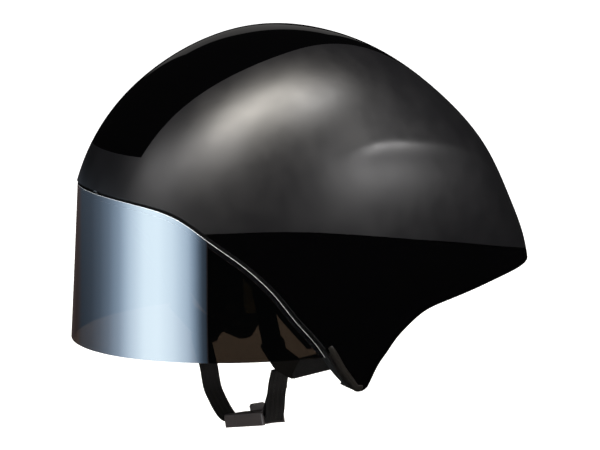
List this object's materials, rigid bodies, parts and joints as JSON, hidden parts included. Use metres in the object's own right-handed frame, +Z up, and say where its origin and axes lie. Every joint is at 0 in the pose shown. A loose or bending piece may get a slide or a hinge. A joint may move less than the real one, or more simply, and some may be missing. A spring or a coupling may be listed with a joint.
{
  "type": "aero time trial helmet",
  "caption": "Long-tailed aero time trial helmet with a magnetic wrap visor, side fairings, fit dial and chin straps.",
  "frame": {"origin": "head_seat: the head's centre in the plane of the brow rim", "axes": "+X to the wearer's left, +Y to the rear along the tail, +Z up"},
  "size_m": [0.2124, 0.3645, 0.2979],
  "materials": {
    "shell_matte": "matte",
    "shell_gloss": "gloss",
    "edge_trim": "satin",
    "foam": "beaded foam",
    "frame_plastic": "satin",
    "visor_lens": "mirror tinted",
    "magnet": "nickel",
    "liner_plastic": "satin",
    "elastomer": "matte",
    "pad_fabric": "knit",
    "ear_fabric": "knit",
    "fit_plastic": "satin",
    "dial_rubber": "matte",
    "webbing": "woven",
    "strap_plastic": "satin"
  },
  "bodies": {
    "shell": {"upper_shell": "shell_matte", "left_fairing": "shell_gloss", "right_fairing": "shell_gloss", "left_edge_trim": "edge_trim", "right_edge_trim": "edge_trim", "tail_cover": "shell_matte", "foam_core": "foam", "visor_ledge": "frame_plastic", "ledge_magnets": "magnet", "strap_studs": "frame_plastic", "liner_pins": "elastomer", "left_ear_pad": "ear_fabric", "right_ear_pad": "ear_fabric", "height_track": "frame_plastic"},
    "visor": {"visor": "visor_lens", "visor_magnets": "magnet"},
    "liner": {"slip_liner": "liner_plastic", "brow_pad": "pad_fabric", "crown_pad": "pad_fabric", "left_side_pad": "pad_fabric", "right_side_pad": "pad_fabric"},
    "cradle": {"fit_cradle": "fit_plastic", "cradle_pads": "pad_fabric", "dial_cover": "fit_plastic"},
    "dial": {"dial_pinion": "fit_plastic", "fit_dial": "dial_rubber"},
    "left_band": {"left_band": "fit_plastic"},
    "right_band": {"right_band": "fit_plastic"},
    "left_strap": {"left_front_strap": "webbing", "left_rear_strap": "webbing", "left_splitter": "strap_plastic", "left_chin_strap": "webbing", "left_buckle": "strap_plastic", "left_buckle_magnet": "magnet", "buckle_pull_tab": "strap_plastic"},
    "right_strap": {"right_front_strap": "webbing", "right_rear_strap": "webbing", "right_splitter": "strap_plastic", "right_chin_strap": "webbing", "right_buckle": "strap_plastic", "right_buckle_magnet": "magnet"}
  },
  "joints": [
    {"name": "visor_pull", "type": "slide", "parent": "shell", "child": "visor", "axis": [0, -1, 0], "range_m": [0, 0.04]},
    {"name": "liner_roll", "type": "hinge", "parent": "shell", "child": "liner", "pos_m": [0, 0.003, -0.006], "axis": [0, 1, 0], "range_deg": [-5, 5], "stiffness_Nm_per_rad": 0.6},
    {"name": "cradle_height", "type": "slide", "parent": "shell", "child": "cradle", "axis": [0, 0, 1], "range_m": [-0.008, 0.008]},
    {"name": "dial_turn", "type": "hinge", "parent": "cradle", "child": "dial", "pos_m": [0, 0, -0.048], "axis": [0, -0.866, 0.5], "range_deg": [0, 100]},
    {"name": "left_band_slide", "type": "slide", "parent": "cradle", "child": "left_band", "axis": [-1, 0, 0], "range_m": [0, 0.009]},
    {"name": "right_band_slide", "type": "slide", "parent": "cradle", "child": "right_band", "axis": [1, 0, 0], "range_m": [0, 0.009]},
    {"name": "left_strap_swing", "type": "hinge", "parent": "shell", "child": "left_strap", "pos_m": [0.0764, -0.028, -0.052], "axis": [0, -0.6847, 0.7288], "range_deg": [0, 30]},
    {"name": "right_strap_swing", "type": "hinge", "parent": "shell", "child": "right_strap", "pos_m": [-0.0764, -0.028, -0.052], "axis": [0, 0.6847, -0.7288], "range_deg": [0, 30]}
  ],
  "couplings": [
    {"joint": "left_band_slide", "follows": "dial_turn", "m_per_rad": 0.005},
    {"joint": "right_band_slide", "follows": "dial_turn", "m_per_rad": 0.005}
  ]
}
